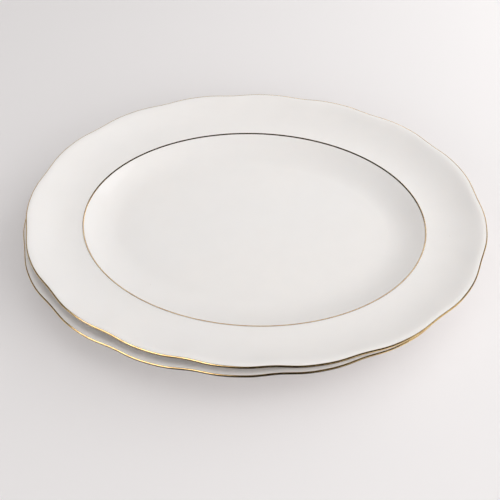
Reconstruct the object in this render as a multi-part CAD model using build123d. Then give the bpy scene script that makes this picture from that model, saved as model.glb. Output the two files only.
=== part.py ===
from build123d import *
import os
from math import cos, hypot, pi, radians, sin, sqrt

import numpy as np

# Two oval china serving platters of one pattern, nested one on the other.
# Each is one fired porcelain body with a scalloped lip, a gold line fired onto the lip
# and a gold line fired on along the verge, where the rim turns down into the well.
#
# Millimetres. +Z is up and +X runs along the lower platter's length. The origin is the
# centre of the lower platter's foot, on the table.
#
# A platter's surface is a set of smooth bands. Each band is a loft through levels, and a
# level is a closed oval line at one height: (oval, height, edge). An oval is its half
# length and half width, and edge runs from 0 at the verge to 1 at the scalloped lip.

# Plan sizes: half the length and half the width of each oval.
LIP_OVAL = (180.0, 131.0)
VERGE_OVAL = (136.9, 94.4)
FLOOR_OVAL = (108.0, 65.5)
FOOT_OVAL = (101.0, 58.5)

# Heights above the table.
FLOOR_TOP = 9.6
VERGE_TOP = 20.0
LIP_TOP = 30.4

# Foot ring: (offset, height) points down its outer side to the level land, offset from the
# foot oval, then from the land up its inner side to the recess, offset from the foot oval
# moved in by the ring's width. The flare joins the ring to the back of the well: one more
# level, at a share of the way out to it and a share of its height.
FOOT_RING_WIDTH = 6.0
FOOT_OUTSIDE = ((0.3, 3.4), (0.0, 1.6), (-0.5, 0.4), (-1.4, 0.0))
FOOT_INSIDE = ((1.3, 0.0), (0.5, 0.4), (0.0, 1.6), (-0.6, 3.4), (-2.6, 4.6))
FLARE_REACH, FLARE_HEIGHT = 0.25, 0.88

# Wall, measured square to the surface. The lip ends in a half round, from the angle where
# the rim's underside runs into it, in degrees, up to a narrow flat crest.
WELL_WALL = 3.9
LIP_WALL = 2.3
LIP_CREST = 0.5
LIP_BACK_ANGLE = -60

# Scalloped edge: shallow lobes of equal length and depth along the lip, one centred on each
# end of both axes. The depth is half the wave's height, and the pinch, as a share of it,
# makes the dips between the lobes narrower than the lobes. The lobes start part of the way
# across the rim and grow towards the lip. Fullness is the lip oval's exponent: 2 is a true
# ellipse, and more is squarer.
LOBES = 16
LOBE_DEPTH = 0.8
LOBE_PINCH = 0.2
LOBE_START = 0.25
LIP_FULLNESS = 2.06

# Shape of the two curved bands, from their inner edge. The slope grows as a power of the
# share of the way across, and is eased off again in a short stretch at the outer edge:
# where the well turns over at the verge, and where the rim flares level at the lip.
WELL_GROWTH, WELL_EASE, WELL_EASE_POWER = 1.0, 0.7, 22
RIM_GROWTH, RIM_EASE, RIM_EASE_POWER = 1.2, 1.0, 14

# Gold lines: how thick, how wide on the well wall just under the verge, and where the line
# on the lip starts and ends, in degrees round the lip's edge from 0 at its widest to 90 at
# its crest.
GOLD_THICKNESS = 0.12
VERGE_LINE_WIDTH = 1.1
LIP_LINE_START = -35
LIP_LINE_END = 80

# How the upper platter sits in the lower one: shift in plan, then turn in degrees.
NEST_SHIFT = (3.2, 2.3)
NEST_TURN = -2.7

# Fineness of the lofts.
POINTS_PER_LOBE = 8
LEVELS_PER_BAND = 9
ARC_STEPS = 7200


def equal_arc_angles(oval, count):
    """Angles that divide an ellipse into steps of equal length along its edge."""
    fine = np.linspace(0, 2 * pi, ARC_STEPS + 1)
    speed = np.hypot(oval[0] * np.sin(fine), oval[1] * np.cos(fine))
    length = np.concatenate([[0], np.cumsum((speed[1:] + speed[:-1]) / 2)])
    return np.interp(np.arange(count) / count * length[-1], length, fine)


ANGLES = equal_arc_angles(LIP_OVAL, LOBES * POINTS_PER_LOBE)


def ring(level):
    """Closed wire along one level, with the lobes that belong to its edge value."""
    oval, z, edge = level
    fade = max(0.0, (edge - LOBE_START) / (1 - LOBE_START)) ** 2
    fullness = 2 + (LIP_FULLNESS - 2) * edge
    points = []
    for i, angle in enumerate(ANGLES):
        c, s = cos(angle), sin(angle)
        reach = (abs(c) ** fullness + abs(s) ** fullness) ** (-1 / fullness)
        turn = 2 * pi * i / POINTS_PER_LOBE
        wave = cos(turn) - LOBE_PINCH * cos(2 * turn)
        outwards = LOBE_DEPTH * fade * wave / hypot(oval[1] * c, oval[0] * s)
        x = c * (oval[0] * reach + oval[1] * outwards)
        y = s * (oval[1] * reach + oval[0] * outwards)
        points.append((x, y, z))
    return Wire([Spline(*points, periodic=True)])


def grown(oval, amount):
    """The oval with both half sizes larger by the amount."""
    return (oval[0] + amount, oval[1] + amount)


def between(first, second, share):
    """The oval that is a share of the way from the first to the second."""
    return tuple(a + (b - a) * share for a, b in zip(first, second))


def raised(level, height):
    """The same level, moved straight up."""
    oval, z, edge = level
    return oval, z + height, edge


def eased(share, growth, ease, ease_power):
    """Rise and slope, not yet to scale, at one share of the way across a curved band."""
    power = growth + ease_power
    rise = share ** (growth + 1) / (growth + 1) - ease * share ** (power + 1) / (power + 1)
    return rise, share ** growth - ease * share ** power


def band_point(ovals, heights, curve, share):
    """Oval, height and slope at one share of the way across a curved band."""
    rise, slope = eased(share, *curve)
    scale = (heights[1] - heights[0]) / eased(1, *curve)[0]
    slope *= scale / (ovals[1][0] - ovals[0][0])
    return between(*ovals, share), heights[0] + rise * scale, slope


def well_point(share):
    """A point on the well's top surface, from the floor (0) to the verge (1)."""
    curve = (WELL_GROWTH, WELL_EASE, WELL_EASE_POWER)
    return band_point((FLOOR_OVAL, VERGE_OVAL), (FLOOR_TOP, VERGE_TOP), curve, share)


# The inner edge of the lip's flat crest.
MOUTH_OVAL = grown(LIP_OVAL, -LIP_WALL / 2 - LIP_CREST)


def rim_point(share):
    """A point on the rim's top surface, from the verge (0) to the lip's crest (1)."""
    curve = (RIM_GROWTH, RIM_EASE, RIM_EASE_POWER)
    return band_point((VERGE_OVAL, MOUTH_OVAL), (VERGE_TOP, LIP_TOP), curve, share)


def well_level(share):
    """A level on top of the well wall."""
    oval, z, _ = well_point(share)
    return oval, z, 0.0


def rim_level(share):
    """A level on top of the rim."""
    oval, z, _ = rim_point(share)
    return oval, z, share


def under(point, wall, edge=0.0):
    """The level one wall thickness below a point, measured square to the surface."""
    oval, z, slope = point
    across = sqrt(1 + slope ** 2)
    return grown(oval, wall * slope / across), z - wall / across, edge


def lip_level(angle, coat=0.0):
    """A level on the half-round edge of the lip, or on a coat over it; 90 is the crest."""
    radius = LIP_WALL / 2 + coat
    oval = grown(LIP_OVAL, radius * cos(radians(angle)) - LIP_WALL / 2)
    return oval, LIP_TOP - LIP_WALL / 2 + radius * sin(radians(angle)), 1.0


def wall(*levels):
    """The smooth band through some levels."""
    return Shell.make_loft([ring(level) for level in levels]).faces()


def flat(outer, inner=None):
    """The level face inside one level, or between two at the same height."""
    holes = [ring(inner)] if inner else []
    return [Face(ring(outer), holes)]


def joined(*bands):
    """One solid closed by all the bands."""
    faces = [face for band in bands for face in band]
    return Solid(Shell(faces))


# The gold line along the verge covers the last stretch of the well wall.
LINE_START = 1 - VERGE_LINE_WIDTH / (VERGE_OVAL[0] - FLOOR_OVAL[0])
VERGE_LINE = [well_level(share) for share in np.linspace(LINE_START, 1, 3)]

# The stretch of the lip's edge that carries its gold line.
LIP_LINE_ANGLES = np.linspace(LIP_LINE_START, LIP_LINE_END, 6)
LIP_LINE = [lip_level(angle) for angle in LIP_LINE_ANGLES]


def top_bands():
    """The surface that food sits on: floor, well wall, verge, rim and crest of the lip."""
    well = [well_level(s) for s in np.linspace(0, LINE_START, LEVELS_PER_BAND)]
    rim = [rim_level(s) for s in np.linspace(0, 1, LEVELS_PER_BAND)]
    crest = lip_level(90)
    lip = [flat(crest, rim[-1]), wall(LIP_LINE[-1], crest)]
    return [flat(well[0]), wall(*well), wall(*VERGE_LINE), wall(*rim), *lip]


def under_bands():
    """The underside of the lip, the rim and the well wall."""
    rim = []
    well = []
    for s in np.linspace(1, 0, LEVELS_PER_BAND):
        thickness = WELL_WALL + (LIP_WALL - WELL_WALL) * s
        rim.append(under(rim_point(s), thickness, edge=s))
        well.append(under(well_point(s), WELL_WALL))
    well[0] = rim[-1]
    back = (LIP_LINE[0], lip_level(LIP_BACK_ANGLE), rim[0])
    return [wall(*LIP_LINE), wall(*back), wall(*rim), wall(*well)]


def foot_bands():
    """The foot ring: its outer side, the level land it rests on, and its recess."""
    flare = under(well_point(0), WELL_WALL)
    neck = (between(FOOT_OVAL, flare[0], FLARE_REACH), FLARE_HEIGHT * flare[1], 0.0)
    outside = [(grown(FOOT_OVAL, offset), z, 0.0) for offset, z in FOOT_OUTSIDE]
    inner_oval = grown(FOOT_OVAL, -FOOT_RING_WIDTH)
    inside = [(grown(inner_oval, offset), z, 0.0) for offset, z in FOOT_INSIDE]
    land = flat(outside[-1], inside[0])
    return [wall(flare, neck, *outside), land, wall(*inside), flat(inside[-1])]


def make_body():
    """The fired porcelain body of one platter."""
    return joined(*top_bands(), *under_bands(), *foot_bands())


def make_verge_gilding():
    """A thin oval ribbon of gold lying along the verge."""
    upper = [raised(level, GOLD_THICKNESS) for level in VERGE_LINE]
    inner_side = wall(VERGE_LINE[0], upper[0])
    outer_side = wall(VERGE_LINE[-1], upper[-1])
    return joined(wall(*VERGE_LINE), wall(*upper), inner_side, outer_side)


def make_rim_gilding():
    """A thin coat of gold round the outer edge of the lip."""
    coat = [lip_level(angle, GOLD_THICKNESS) for angle in LIP_LINE_ANGLES]
    lower_side = wall(LIP_LINE[0], coat[0])
    upper_side = wall(LIP_LINE[-1], coat[-1])
    return joined(wall(*LIP_LINE), wall(*coat), lower_side, upper_side)


def write_parts():
    """Write every piece of both platters, each in its own file."""
    pieces = {
        "body": make_body(),
        "rim_gilding": make_rim_gilding(),
        "verge_gilding": make_verge_gilding(),
    }
    nested = Location((*NEST_SHIFT, FLOOR_TOP), (0, 0, NEST_TURN))
    os.makedirs("parts", exist_ok=True)
    for name, piece in pieces.items():
        export_step(piece, f"parts/lower_platter_{name}.step")
        export_step(piece.moved(nested), f"parts/upper_platter_{name}.step")


write_parts()
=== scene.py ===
"""Looks for two nested oval china platters: glazed porcelain, gold lines, light and camera.

Lengths are metres, in the CAD frame: +Z up, +X along the lower platter, z = 0 on the table.
"""
import math

import bpy
import numpy as np
from mathutils import Matrix, Vector


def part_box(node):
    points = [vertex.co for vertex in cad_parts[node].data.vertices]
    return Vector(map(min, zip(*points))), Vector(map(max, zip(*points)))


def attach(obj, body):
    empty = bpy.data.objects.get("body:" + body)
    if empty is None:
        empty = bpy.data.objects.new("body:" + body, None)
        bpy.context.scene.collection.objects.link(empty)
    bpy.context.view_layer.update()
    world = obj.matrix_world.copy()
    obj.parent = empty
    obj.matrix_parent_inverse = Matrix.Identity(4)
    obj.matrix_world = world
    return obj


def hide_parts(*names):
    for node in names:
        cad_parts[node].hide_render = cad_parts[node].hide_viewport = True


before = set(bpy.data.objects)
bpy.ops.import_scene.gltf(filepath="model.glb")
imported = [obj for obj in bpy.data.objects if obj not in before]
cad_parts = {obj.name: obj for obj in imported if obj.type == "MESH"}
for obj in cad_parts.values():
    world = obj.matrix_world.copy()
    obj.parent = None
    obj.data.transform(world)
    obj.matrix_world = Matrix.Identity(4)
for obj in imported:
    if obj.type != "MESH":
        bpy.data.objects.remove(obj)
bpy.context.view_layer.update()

MM = 0.001

# Places that the frame gives.
VERGE_LOW, VERGE_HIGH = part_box("lower_platter_verge_gilding")
UPPER_LOW, UPPER_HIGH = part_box("upper_platter_verge_gilding")
NEST_SHIFT = (UPPER_LOW + UPPER_HIGH) / 2 - (VERGE_LOW + VERGE_HIGH) / 2
LIP_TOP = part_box("lower_platter_body")[1].z
FLOOR_TOP = NEST_SHIFT.z
NEST_TURN = math.radians(-2.7)

# Half length and half width of each oval, as in the CAD model.
LIP_OVAL = np.array([180.0, 131.0]) * MM
VERGE_OVAL = np.array([136.9, 94.4]) * MM
FLOOR_OVAL = np.array([108.0, 65.5]) * MM
FOOT_OVAL = np.array([101.0, 58.5]) * MM
VERGE_TOP = 20.0 * MM

# Foot ring, as (offset, height) in mm: down its outer side to the level land, offset from
# the foot oval, then up its inner side to the recess, offset from the foot oval moved in by
# the ring's width. The flare joins the ring to the back of the well.
FOOT_RING_WIDTH = 6.0 * MM
FOOT_OUTSIDE = ((0.3, 3.4), (0.1, 2.4), (0.0, 1.6), (-0.15, 0.9), (-0.5, 0.4), (-0.9, 0.12),
                (-1.4, 0.0))
FOOT_INSIDE = ((1.3, 0.0), (0.9, 0.12), (0.5, 0.4), (0.15, 0.9), (0.0, 1.6), (-0.2, 2.6),
               (-0.7, 3.6), (-1.5, 4.3), (-2.6, 4.6))
FLARE_REACH = 0.25
FLARE_HEIGHT = 0.88

# The land and its rounded corners, up to this height, are left unglazed.
LAND_TOP = 0.3 * MM

# Wall thicknesses and the flat crest of the lip.
WELL_WALL = 3.9 * MM
LIP_WALL = 2.3 * MM
LIP_CREST = 0.5 * MM
MOUTH_OVAL = LIP_OVAL - LIP_WALL / 2 - LIP_CREST

# Scalloped edge: the wave's depth is square to the oval, and its pinch sharpens the hollows
# and flattens the crests. Lobes start at a share of the way across the rim. Fullness is the
# exponent of the lip's oval: 2 is a true ellipse, and more is squarer.
LOBES = 16
LOBE_DEPTH = 0.8 * MM
LOBE_PINCH = 0.2
LOBE_START = 0.25
LIP_FULLNESS = 2.06

# Curve of the well wall and of the rim: how the slope grows outwards, and how much and how
# suddenly it eases off at the outer edge, as in the CAD model.
WELL_CURVE = (1.0, 0.7, 22)
RIM_CURVE = (1.2, 1.0, 14)

# Share of each curve that the soft bend behind the verge takes out of the underside.
VERGE_EASE = 0.05

# Gold lines: the lip's runs between two angles of its half-round edge, in degrees.
GOLD_THICKNESS = 0.10 * MM
GOLD_SUNK = 0.02 * MM
VERGE_LINE_WIDTH = 1.1 * MM
LIP_LINE_START = -35
LIP_LINE_END = 80

# Fineness of the meshes: columns round the oval, and levels across each band.
COLUMNS_PER_LOBE = 32
COLUMNS = LOBES * COLUMNS_PER_LOBE
FLOOR_LEVELS = 18
WELL_LEVELS = 36
RIM_LEVELS = 43
LIP_LEVELS = 12
UNDERSIDE_LEVELS = 18
GOLD_LEVELS = 7
LIP_BACK_ANGLE = -75
ARC_STEPS = 7200

# Soft lights: name, azimuth and elevation in degrees, distance, width and height in metres,
# radiance, what they reach, and whether they light it, show in its reflections, or both.
# "china" is the porcelain and the floor, "lips" and "verges" are the gold lines there.
LIGHTS = (
    ("window_front", 60, 22, 2.0, 1.2, 1.2, 2.5, "china", "both"),
    ("window_high", 90, 50, 2.0, 1.2, 1.2, 1.2, "china", "both"),
    ("window_back", 120, 28, 0.9, 0.85, 0.85, 1.55, "china", "light"),
    ("window_glint", 103, 36, 1.5, 0.35, 0.5, 2.6, "china", "reflection"),
    ("reflector", 318, 26, 1.6, 1.3, 1.3, 1.05, "china", "both"),
    ("overhead", 180, 80, 2.0, 1.4, 1.4, 0.72, "china", "light"),
    ("fill_front", 15, 25, 2.0, 1.2, 1.2, 0.55, "china", "light"),
    ("card_left", 317, 39, 1.6, 1.25, 1.2, 2.6, "lips", "reflection"),
    ("card_right", 68, 28, 2.0, 0.9, 1.0, 0.9, "lips", "reflection"),
    ("card_back", 122, 28, 0.9, 0.85, 0.85, 1.8, "verges", "reflection"),
)

# Even light from all round: its colour and strength, and how strong glossy surfaces mirror
# it on the viewer's side and on the far side, with the change between these shares of +Y.
ROOM_COLOUR = (1.0, 0.985, 0.975)
ROOM_STRENGTH = 0.43
ROOM_MIRRORED = (0.012, 0.7)
ROOM_CHANGE = (0.30, 0.70)

FLOOR_HALF_SIZE = 3.0

# Painted dark reflection: in front of the platters the floor is painted dark for glossy rays
# only, standing in for a dark cloth and the shade there. In metres: its middle along the table,
# how far from there its ends fade out, and where its far edge fades out.
DARK_REFLECTION_MIDDLE = -0.01
DARK_REFLECTION_ENDS = (0.115, 0.13)
DARK_REFLECTION_FAR_EDGE = (-0.125, -0.105)

# Camera: direction it looks from, roll, distance from its target and lens in mm, and the
# target's offset from the upper platter's centre, to the viewer's right and away.
CAMERA_AZIMUTH = math.radians(7.6)
CAMERA_ELEVATION = math.radians(56)
CAMERA_ROLL = math.radians(-4.7)
CAMERA_DISTANCE = 553.2 * MM
CAMERA_AIM = (-3.1 * MM, -21.6 * MM, 0)
CAMERA_LENS = 50.4

# Colours, as linear RGB.
FLOOR_COLOUR = (0.85, 0.825, 0.825)
# Painted dark reflection: the floor's colour in front of the platters, seen by glossy rays only.
PAINTED_DARK_REFLECTION_COLOUR = (0.012, 0.008, 0.008)
WHITE_COOL = (0.872, 0.850, 0.834)
WHITE_WARM = (0.885, 0.857, 0.834)
WHITE_DEEP = (0.850, 0.826, 0.808)
SPECK_BROWN = (0.32, 0.24, 0.17)
BISQUE = (0.70, 0.66, 0.60)
BISQUE_WORN = (0.42, 0.39, 0.36)
LIP_GOLD_BRIGHT = (0.92, 0.68, 0.33)
LIP_GOLD_DEEP = (0.74, 0.49, 0.23)
VERGE_GOLD_BRIGHT = (0.88, 0.71, 0.50)
VERGE_GOLD_DEEP = (0.70, 0.52, 0.35)
GOLD_RUBBED = (0.60, 0.47, 0.36)


def equal_arc_angles(oval, count):
    """Angles that divide an ellipse into steps of equal length along its edge."""
    fine = np.linspace(0, 2 * math.pi, ARC_STEPS + 1)
    speed = np.hypot(oval[0] * np.sin(fine), oval[1] * np.cos(fine))
    length = np.concatenate([[0], np.cumsum((speed[1:] + speed[:-1]) / 2)])
    return np.interp(np.arange(count) / count * length[-1], length, fine)


ANGLES = equal_arc_angles(LIP_OVAL, COLUMNS)
LOBE_TURN = 2 * math.pi * np.arange(COLUMNS) / COLUMNS_PER_LOBE
LOBE_WAVE = np.cos(LOBE_TURN) - LOBE_PINCH * np.cos(2 * LOBE_TURN)


def ring(level):
    """Points of one closed oval line: level is (oval, height, edge); edge is 1 at the lip."""
    oval, z, edge = level
    fade = max(0.0, (edge - LOBE_START) / (1 - LOBE_START)) ** 2
    fullness = 2 + (LIP_FULLNESS - 2) * edge
    c, s = np.cos(ANGLES), np.sin(ANGLES)
    reach = (abs(c) ** fullness + abs(s) ** fullness) ** (-1 / fullness)
    outwards = LOBE_DEPTH * fade * LOBE_WAVE / np.hypot(oval[1] * c, oval[0] * s)
    x = c * (oval[0] * reach + oval[1] * outwards)
    y = s * (oval[1] * reach + oval[0] * outwards)
    return np.column_stack([x, y, np.full(COLUMNS, z)])


def eased(share, growth, ease, ease_power):
    """Rise and slope, not yet to scale, at one share of the way across a curved band."""
    power = growth + ease_power
    rise = share ** (growth + 1) / (growth + 1) - ease * share ** (power + 1) / (power + 1)
    return rise, share ** growth - ease * share ** power


def band_point(ovals, heights, curve, share):
    """Oval, height and slope at one share of the way across a curved band."""
    inner, outer = ovals
    rise, slope = eased(share, *curve)
    scale = (heights[1] - heights[0]) / eased(1, *curve)[0]
    slope *= scale / (outer - inner)[0]
    return inner + (outer - inner) * share, heights[0] + rise * scale, slope


def well_point(share):
    """A point on the well's top surface, from the floor (0) to the verge (1)."""
    return band_point((FLOOR_OVAL, VERGE_OVAL), (FLOOR_TOP, VERGE_TOP), WELL_CURVE, share)


def rim_point(share):
    """A point on the rim's top surface, from the verge (0) to the lip's crest (1)."""
    return band_point((VERGE_OVAL, MOUTH_OVAL), (VERGE_TOP, LIP_TOP), RIM_CURVE, share)


def under(point, wall, edge=0.0):
    """The level one wall thickness below a point, measured square to the surface."""
    oval, z, slope = point
    across = math.sqrt(1 + slope ** 2)
    return oval + wall * slope / across, z - wall / across, edge


def lip_level(angle, coat=0.0):
    """A level on the half-round edge of the lip, in degrees; 90 is the crest."""
    radius = LIP_WALL / 2 + coat
    turn = math.radians(angle)
    oval = LIP_OVAL - LIP_WALL / 2 + radius * math.cos(turn)
    return oval, LIP_TOP - LIP_WALL / 2 + radius * math.sin(turn), 1.0


def body_levels():
    """All levels of the porcelain body, from the floor's centre out and back under."""
    levels = [(FLOOR_OVAL * s, FLOOR_TOP, 0.0) for s in np.linspace(0.04, 0.98, FLOOR_LEVELS)]
    levels += [(*well_point(s)[:2], 0.0) for s in np.linspace(0, 1, WELL_LEVELS)]
    levels += [(*rim_point(s)[:2], s) for s in np.linspace(0, 1, RIM_LEVELS + 1)[1:]]
    levels += [lip_level(a) for a in np.linspace(90, LIP_BACK_ANGLE, LIP_LEVELS)]
    for s in np.linspace(1, VERGE_EASE, UNDERSIDE_LEVELS):
        levels.append(under(rim_point(s), WELL_WALL + (LIP_WALL - WELL_WALL) * s, s))
    for s in np.linspace(1 - 2 * VERGE_EASE, 0, UNDERSIDE_LEVELS - 1):
        levels.append(under(well_point(s), WELL_WALL))
    return levels + foot_levels(levels[-1])


def foot_levels(flare):
    """Levels of the foot ring and its recess, after the flare at the well's back."""
    inner = FOOT_OVAL - FOOT_RING_WIDTH
    neck = FOOT_OVAL + FLARE_REACH * (flare[0] - FOOT_OVAL)
    levels = [(neck, FLARE_HEIGHT * flare[1], 0.0)]
    levels += [(FOOT_OVAL + offset * MM, z * MM, 0.0) for offset, z in FOOT_OUTSIDE]
    levels += [(inner + offset * MM, z * MM, 0.0) for offset, z in FOOT_INSIDE]
    recess_oval, recess_top, _ = levels[-1]
    levels += [(recess_oval * share, recess_top, 0.0) for share in (0.75, 0.5, 0.25, 0.05)]
    return levels


def build_mesh(name, levels, closed_loop):
    """Quad mesh through rings; closed_loop joins the last to the first, else centres cap it."""
    rings = np.array([ring(level) for level in levels])
    count = len(rings)
    verts = rings.reshape(-1, 3).tolist()
    row = np.arange(COLUMNS)
    after = (row + 1) % COLUMNS
    faces = []
    pairs = [(i, i + 1) for i in range(count - 1)]
    if closed_loop:
        pairs.append((count - 1, 0))
    for a, b in pairs:
        quad = np.column_stack([a * COLUMNS + row, a * COLUMNS + after, b * COLUMNS + after,
                                b * COLUMNS + row])
        faces += quad[:, ::-1].tolist()
    if not closed_loop:
        for index, flip in ((0, True), (count - 1, False)):
            centre = len(verts)
            verts.append([0.0, 0.0, levels[index][1]])
            fan = np.column_stack([index * COLUMNS + row, index * COLUMNS + after,
                                   np.full(COLUMNS, centre)])
            faces += (fan if flip else fan[:, ::-1]).tolist()
    mesh = bpy.data.meshes.new(name)
    mesh.from_pydata(verts, [], faces)
    mesh.validate()
    mesh.polygons.foreach_set("use_smooth", [True] * len(mesh.polygons))
    obj = bpy.data.objects.new(name, mesh)
    bpy.context.scene.collection.objects.link(obj)
    return obj


def rim_gilding_levels():
    """Closed section of the gold coat on the lip: round its outside and back."""
    angles = np.linspace(LIP_LINE_START, LIP_LINE_END, LIP_LEVELS)
    coat = [lip_level(a, GOLD_THICKNESS) for a in angles]
    return coat + [lip_level(a, -GOLD_SUNK) for a in angles[::-1]]


def verge_gilding_levels():
    """Closed section of the gold ribbon on the last stretch of the well wall."""
    start = 1 - VERGE_LINE_WIDTH / (VERGE_OVAL - FLOOR_OVAL)[0]
    points = [well_point(share)[:2] for share in np.linspace(start, 1, GOLD_LEVELS)]
    over = [(oval, z + GOLD_THICKNESS, 0.0) for oval, z in points]
    back = [(oval, z - GOLD_SUNK, 0.0) for oval, z in points[::-1]]
    return over + back


def new_material(name):
    """A node material with its main shader."""
    material = bpy.data.materials.new(name)
    material.use_nodes = True
    tree = material.node_tree
    return material, tree, tree.nodes["Principled BSDF"]


def add_node(tree, kind, **settings):
    """A shader node; settings that are inputs of the node become their default values."""
    node = tree.nodes.new(kind)
    for key, value in settings.items():
        label = key.replace("_", " ").title()
        if label in node.inputs:
            node.inputs[label].default_value = value
        else:
            setattr(node, key, value)
    return node


def noise(tree, coordinates, scale, detail=2.0, roughness=0.5):
    """A noise texture's value; scale is in waves per metre."""
    node = add_node(tree, "ShaderNodeTexNoise", scale=scale, detail=detail, roughness=roughness)
    tree.links.new(coordinates, node.inputs["Vector"])
    return node.outputs["Fac"]


def ramp(tree, value, low, high, start, end):
    """The value's range low..high taken to start..end, smoothly and clamped."""
    node = add_node(tree, "ShaderNodeMapRange", interpolation_type="SMOOTHSTEP")
    tree.links.new(value, node.inputs["Value"])
    for key, number in zip(("From Min", "From Max", "To Min", "To Max"), (low, high, start, end)):
        node.inputs[key].default_value = number
    return node.outputs["Result"]


def mixed(tree, factor, first, second):
    """Colour between two others; each is a colour or the output of a node."""
    node = add_node(tree, "ShaderNodeMix", data_type="RGBA")
    tree.links.new(factor, node.inputs["Factor"])
    for socket, colour in ((node.inputs[6], first), (node.inputs[7], second)):
        if isinstance(colour, tuple):
            socket.default_value = (*colour, 1)
        else:
            tree.links.new(colour, socket)
    return node.outputs[2]


def calculated(tree, operation, *values):
    """The result of a math node; each value is a number or the output of a node."""
    node = add_node(tree, "ShaderNodeMath", operation=operation)
    for socket, value in zip(node.inputs, values):
        if isinstance(value, (int, float)):
            socket.default_value = value
        else:
            tree.links.new(value, socket)
    return node.outputs[0]


def bump(tree, height, strength, distance, normal=None):
    """A bump node's normal; distance is the height in metres that a full wave stands for."""
    node = add_node(tree, "ShaderNodeBump", strength=strength, distance=distance)
    tree.links.new(height, node.inputs["Height"])
    if normal:
        tree.links.new(normal, node.inputs["Normal"])
    return node.outputs["Normal"]


def object_coordinates(tree):
    """Places on the piece, in metres."""
    return add_node(tree, "ShaderNodeTexCoord").outputs["Object"]


def scratches(tree, coordinates, turn):
    """Thin, long streaks in one direction, as cutlery leaves them: 1 on a streak, else 0."""
    mapping = add_node(tree, "ShaderNodeMapping")
    mapping.inputs["Rotation"].default_value = (0, 0, turn)
    mapping.inputs["Scale"].default_value = (14, 900, 1)
    tree.links.new(coordinates, mapping.inputs["Vector"])
    return ramp(tree, noise(tree, mapping.outputs["Vector"], 1.0, detail=1.0), 0.66, 0.72, 0, 1)


def glaze_material():
    """White china body under a clear glossy glaze, a little wavy and lightly used."""
    material, tree, shader = new_material("glazed_porcelain")
    place = object_coordinates(tree)
    tone = mixed(tree, ramp(tree, noise(tree, place, 9, 3), 0.35, 0.65, 0, 1), WHITE_COOL, WHITE_WARM)
    pool = ramp(tree, noise(tree, place, 60, 2), 0.3, 0.75, 0, 0.35)
    tone = mixed(tree, pool, tone, WHITE_DEEP)
    speck = add_node(tree, "ShaderNodeTexVoronoi", scale=70.0)
    tree.links.new(place, speck.inputs["Vector"])
    chosen = ramp(tree, cell_number(tree, speck), 0.93, 0.94, 0, 1)
    dot = ramp(tree, speck.outputs["Distance"], 0.010, 0.022, 0.5, 0)
    tone = mixed(tree, calculated(tree, "MULTIPLY", dot, chosen), tone, SPECK_BROWN)
    tree.links.new(tone, shader.inputs["Base Color"])
    wear = calculated(tree, "MAXIMUM", scratches(tree, place, 0.5), scratches(tree, place, 1.9))
    wear = calculated(tree, "MULTIPLY", wear, ramp(tree, noise(tree, place, 25, 2), 0.5, 0.65, 0, 1))
    gloss = ramp(tree, noise(tree, place, 120, 3), 0.3, 0.7, 0.07, 0.12)
    gloss = calculated(tree, "ADD", gloss, calculated(tree, "MULTIPLY", wear, 0.10))
    tree.links.new(gloss, shader.inputs["Coat Roughness"])
    waves = bump(tree, noise(tree, place, 28, 1), 1.0, 0.35 * MM)
    peel = bump(tree, noise(tree, place, 300, 2), 0.25, 0.02 * MM, waves)
    tree.links.new(peel, shader.inputs["Coat Normal"])
    shader.inputs["Coat Weight"].default_value = 1.0
    shader.inputs["Coat IOR"].default_value = 1.5
    shader.inputs["Roughness"].default_value = 0.45
    shader.inputs["Specular IOR Level"].default_value = 0.25
    shader.inputs["Subsurface Weight"].default_value = 0.12
    shader.inputs["Subsurface Radius"].default_value = (1.0, 0.9, 0.8)
    shader.inputs["Subsurface Scale"].default_value = 1.5 * MM
    return material


def cell_number(tree, cells):
    """A number from 0 to 1 for each cell of a Voronoi texture."""
    split = add_node(tree, "ShaderNodeSeparateColor")
    tree.links.new(cells.outputs["Color"], split.inputs["Color"])
    return split.outputs["Red"]


def bisque_material():
    """The unglazed land of the foot ring: dry, fine grained and greyed by shelves."""
    material, tree, shader = new_material("unglazed_foot")
    place = object_coordinates(tree)
    grime = ramp(tree, noise(tree, place, 90, 5, 0.65), 0.42, 0.72, 0, 0.7)
    tree.links.new(mixed(tree, grime, BISQUE, BISQUE_WORN), shader.inputs["Base Color"])
    shader.inputs["Roughness"].default_value = 0.78
    grain = bump(tree, noise(tree, place, 2600, 3), 0.5, 0.05 * MM)
    tree.links.new(grain, shader.inputs["Normal"])
    return material


def gold_material(name, bright, deep):
    """Bright fired gold, brushed on by hand and rubbed thin in places."""
    material, tree, shader = new_material(name)
    place = object_coordinates(tree)
    brushed = ramp(tree, noise(tree, place, 160, 4, 0.6), 0.3, 0.7, 0, 1)
    tone = mixed(tree, brushed, deep, bright)
    rubbed = ramp(tree, noise(tree, place, 45, 3), 0.60, 0.72, 0, 0.45)
    tree.links.new(mixed(tree, rubbed, tone, GOLD_RUBBED), shader.inputs["Base Color"])
    gloss = ramp(tree, noise(tree, place, 420, 3), 0.3, 0.7, 0.10, 0.24)
    tree.links.new(gloss, shader.inputs["Roughness"])
    shader.inputs["Metallic"].default_value = 1.0
    ripple = bump(tree, noise(tree, place, 700, 2), 0.3, 0.03 * MM)
    tree.links.new(ripple, shader.inputs["Normal"])
    return material


GLAZE = glaze_material()
BISQUE_LAND = bisque_material()
LIP_GOLD = gold_material("fired_gold_lip", LIP_GOLD_BRIGHT, LIP_GOLD_DEEP)
VERGE_GOLD = gold_material("fired_gold_verge", VERGE_GOLD_BRIGHT, VERGE_GOLD_DEEP)


def add_piece(name, levels, closed_loop, body, node, material, placement):
    """A visible piece that rides on a body and replaces one CAD node."""
    piece = build_mesh(name, levels, closed_loop)
    piece.data.materials.append(material)
    if not closed_loop:
        leave_land_unglazed(piece.data)
    piece.data.transform(placement)
    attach(piece, body)
    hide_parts(node)
    return piece


def leave_land_unglazed(mesh):
    """Give the foot ring's level land and its two rounded corners the bisque material."""
    mesh.materials.append(BISQUE_LAND)
    for face in mesh.polygons:
        if face.center.z < LAND_TOP:
            face.material_index = 1


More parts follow.
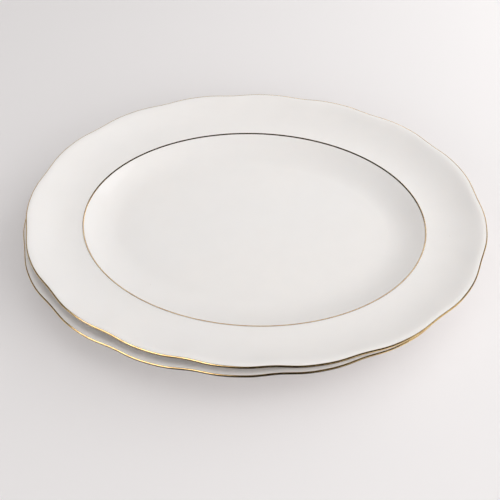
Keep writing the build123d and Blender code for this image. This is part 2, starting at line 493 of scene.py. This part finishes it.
def add_platter(body, placement):
    """The three pieces of one platter: porcelain, gold on the lip, gold line at the verge."""
    porcelain = add_piece(f"{body}_porcelain", body_levels(), False, body, f"{body}_body", GLAZE,
                          placement)
    lip = add_piece(f"{body}_lip_gold", rim_gilding_levels(), True, body, f"{body}_rim_gilding",
                    LIP_GOLD, placement)
    verge = add_piece(f"{body}_verge_gold", verge_gilding_levels(), True, body,
                      f"{body}_verge_gilding", VERGE_GOLD, placement)
    return porcelain, lip, verge


UPPER_PLACE = Matrix.Translation(NEST_SHIFT) @ Matrix.Rotation(NEST_TURN, 4, "Z")
LOWER = add_platter("lower_platter", Matrix.Identity(4))
UPPER = add_platter("upper_platter", UPPER_PLACE)


def add_floor():
    """A plain pale floor; in front of the platters it is painted dark for glossy rays only, a painted
    dark reflection.
    """
    mesh = bpy.data.meshes.new("pale_floor")
    far = FLOOR_HALF_SIZE
    mesh.from_pydata([(-far, -far, 0), (far, -far, 0), (far, far, 0), (-far, far, 0)], [],
                     [(0, 1, 2, 3)])
    floor = bpy.data.objects.new("pale_floor", mesh)
    bpy.context.scene.collection.objects.link(floor)
    material, tree, shader = new_material("pale_floor")
    shader.inputs["Roughness"].default_value = 0.8
    # The floor's front is painted dark for glossy rays only: a painted dark reflection.
    tree.links.new(mixed(tree, painted_dark_reflection_mask(tree), FLOOR_COLOUR, PAINTED_DARK_REFLECTION_COLOUR),
                   shader.inputs["Base Color"])
    mesh.materials.append(material)
    return floor


def painted_dark_reflection_mask(tree):
    """1 where a glossy ray sees the painted dark reflection in front of the platters, else 0."""
    place = add_node(tree, "ShaderNodeSeparateXYZ")
    tree.links.new(object_coordinates(tree), place.inputs[0])
    in_front = ramp(tree, place.outputs["Y"], *DARK_REFLECTION_FAR_EDGE, 1, 0)
    from_middle = calculated(tree, "SUBTRACT", place.outputs["X"], DARK_REFLECTION_MIDDLE)
    along = ramp(tree, calculated(tree, "ABSOLUTE", from_middle), *DARK_REFLECTION_ENDS, 1, 0)
    glossy = add_node(tree, "ShaderNodeLightPath").outputs["Is Glossy Ray"]
    return calculated(tree, "MULTIPLY", glossy, calculated(tree, "MULTIPLY", in_front, along))


def add_softbox(name, azimuth, elevation, distance, width, height, radiance):
    """A soft light aimed at the platters; azimuth 0 is on the viewer's side."""
    data = bpy.data.lights.new(name, "AREA")
    data.shape = "RECTANGLE"
    data.size = width
    data.size_y = height
    data.energy = math.pi * width * height * radiance
    light = bpy.data.objects.new(name, data)
    a, e = math.radians(azimuth), math.radians(elevation)
    back = Vector((math.sin(a) * math.cos(e), -math.cos(a) * math.cos(e), math.sin(e)))
    light.location = back * distance
    light.rotation_mode = "QUATERNION"
    light.rotation_quaternion = (-back).to_track_quat("-Z", "Y")
    bpy.context.scene.collection.objects.link(light)
    return light


def add_room_light():
    """Even light from all round; to reflections it is dark but for the far side."""
    world = bpy.data.worlds.new("studio")
    world.use_nodes = True
    tree = world.node_tree
    background = tree.nodes["Background"]
    background.inputs["Color"].default_value = (*ROOM_COLOUR, 1)
    direction = add_node(tree, "ShaderNodeSeparateXYZ")
    tree.links.new(add_node(tree, "ShaderNodeTexCoord").outputs["Generated"], direction.inputs[0])
    far_side = ramp(tree, direction.outputs["Y"], *ROOM_CHANGE, *ROOM_MIRRORED)
    path = add_node(tree, "ShaderNodeLightPath")
    mix = add_node(tree, "ShaderNodeMix", data_type="FLOAT")
    tree.links.new(path.outputs["Is Glossy Ray"], mix.inputs[0])
    mix.inputs[2].default_value = ROOM_STRENGTH
    tree.links.new(far_side, mix.inputs[3])
    tree.links.new(mix.outputs[0], background.inputs["Strength"])
    bpy.context.scene.world = world


def add_lights(floor):
    """All soft lights, each linked to the pieces it reaches."""
    reached = {"china": (LOWER[0], UPPER[0], floor), "lips": (LOWER[1], UPPER[1]),
               "verges": (LOWER[2], UPPER[2])}
    for *shape, reaches, use in LIGHTS:
        light = add_softbox(*shape)
        light.visible_diffuse = use != "reflection"
        light.visible_glossy = use != "light"
        receivers = bpy.data.collections.new(f"{light.name}_reaches")
        for obj in reached[reaches]:
            receivers.objects.link(obj)
        light.light_linking.receiver_collection = receivers


add_lights(add_floor())
add_room_light()
bpy.context.scene.view_settings.view_transform = "Standard"


def add_camera():
    """A camera at the viewer's place, looking down into the upper platter."""
    level = math.cos(CAMERA_ELEVATION)
    look = Vector((-math.sin(CAMERA_AZIMUTH) * level, math.cos(CAMERA_AZIMUTH) * level,
                   -math.sin(CAMERA_ELEVATION)))
    aim = Vector(CAMERA_AIM)
    aim.rotate(Matrix.Rotation(CAMERA_AZIMUTH, 3, "Z"))
    target = aim + Vector((NEST_SHIFT.x, NEST_SHIFT.y, VERGE_TOP))
    data = bpy.data.cameras.new("camera")
    data.sensor_width = 36
    data.lens = CAMERA_LENS
    camera = bpy.data.objects.new("camera", data)
    camera.location = target - look * CAMERA_DISTANCE
    camera.rotation_mode = "QUATERNION"
    turn = look.to_track_quat("-Z", "Y").to_matrix() @ Matrix.Rotation(CAMERA_ROLL, 3, "Z")
    camera.rotation_quaternion = turn.to_quaternion()
    bpy.context.scene.collection.objects.link(camera)
    bpy.context.scene.camera = camera


add_camera()
